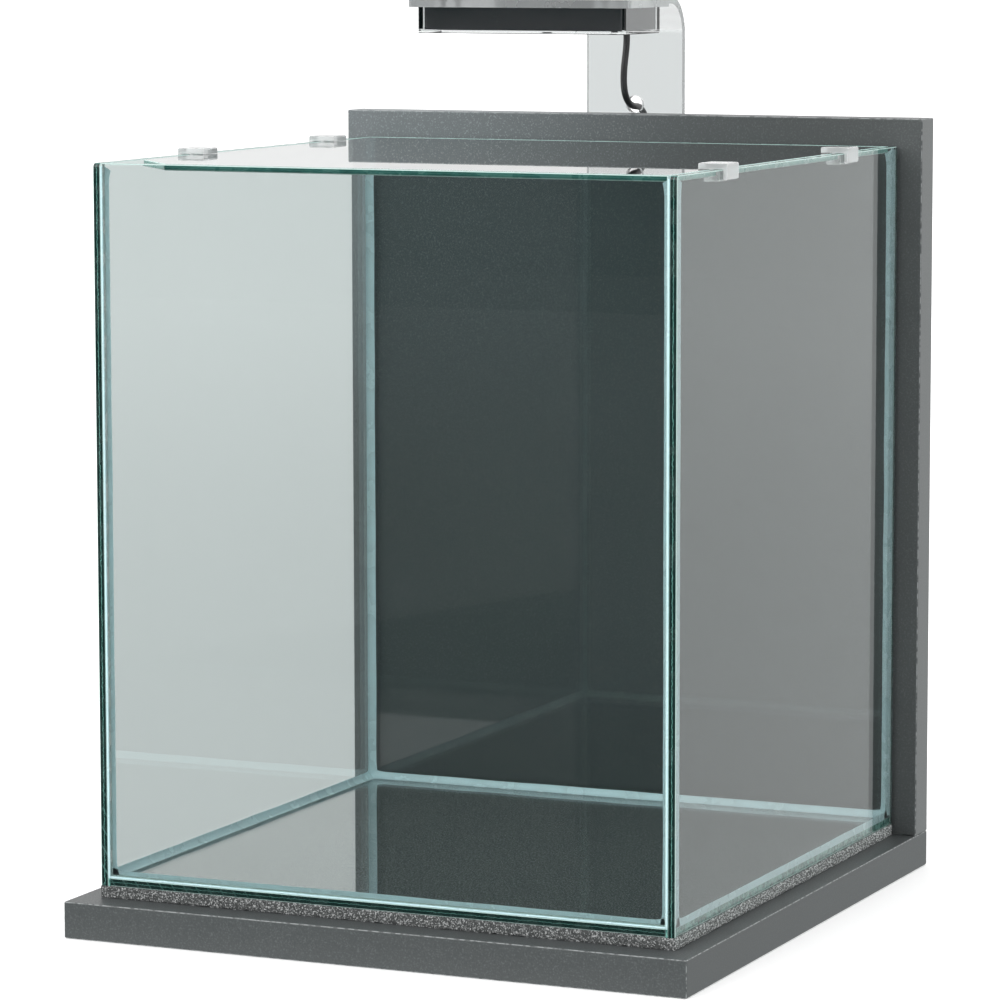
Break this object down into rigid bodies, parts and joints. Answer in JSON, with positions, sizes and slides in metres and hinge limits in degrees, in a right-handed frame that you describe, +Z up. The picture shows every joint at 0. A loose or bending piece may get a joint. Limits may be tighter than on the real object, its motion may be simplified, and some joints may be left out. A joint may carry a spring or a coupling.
{
  "type": "aquarium on stand",
  "caption": "Rimless glass aquarium on an L-shaped stand of two boards, with a foam mat, a loose glass lid in clear clips and an LED lamp on a clear arm.",
  "frame": {"origin": "centre of the base board's underside", "axes": "+Z up, +X to the right seen from the front, +Y to the back"},
  "size_m": [0.324, 0.3873, 0.4495],
  "materials": {
    "board_laminate": "dark grey fine-grained laminate on board, satin",
    "dowel_wood": "plain beech",
    "steel": "zinc-plated steel, satin",
    "foam": "closed-cell foam, fine speckle, matt",
    "clear_glass": "clear float glass, greenish at its ground edges",
    "silicone": "translucent silicone, smooth",
    "clear_acrylic": "clear acrylic, polished",
    "black_gloss": "glossy black",
    "circuit_board": "white solder mask, satin",
    "led_lens": "yellow phosphor under clear resin",
    "cable_jacket": "black cable sheath, satin",
    "black_rubber": "black moulded rubber, matt",
    "black_plastic": "black moulded plastic, fine texture"
  },
  "bodies": {
    "root": {"adapter_board": "circuit_board", "adapter_front_shell": "black_plastic", "adapter_lead": "cable_jacket", "adapter_pins": "steel", "adapter_rear_shell": "black_plastic", "adapter_relief": "black_rubber", "arm_screws": "steel", "arm_washers": "steel", "back_board": "board_laminate", "base_board": "board_laminate", "cable_coil": "cable_jacket", "cable_gland": "black_rubber", "coil_tie": "black_plastic", "foam_mat": "foam", "joining_dowels": "dowel_wood", "joining_screws": "steel", "lamp_arm": "clear_acrylic", "lamp_body": "black_gloss", "lamp_cable": "cable_jacket", "lamp_cover": "clear_acrylic", "lamp_screws": "steel", "led_board": "circuit_board", "leds": "led_lens"},
    "tank": {"back_glass": "clear_glass", "bottom_glass": "clear_glass", "front_glass": "clear_glass", "left_glass": "clear_glass", "right_glass": "clear_glass", "seam_back_left": "silicone", "seam_back_right": "silicone", "seam_bottom_back": "silicone", "seam_bottom_front": "silicone", "seam_bottom_left": "silicone", "seam_bottom_right": "silicone", "seam_front_left": "silicone", "seam_front_right": "silicone"},
    "lid": {"clip_left_back": "clear_acrylic", "clip_left_front": "clear_acrylic", "clip_right_back": "clear_acrylic", "clip_right_front": "clear_acrylic", "lid_glass": "clear_glass"}
  },
  "joints": [
    {"name": "tank_lift", "type": "slide", "parent": "root", "child": "tank", "axis": [0, 0, 1], "range_m": [0, 0.02]},
    {"name": "lid_lift", "type": "slide", "parent": "tank", "child": "lid", "axis": [0, 0, 1], "range_m": [0, 0.03]}
  ]
}
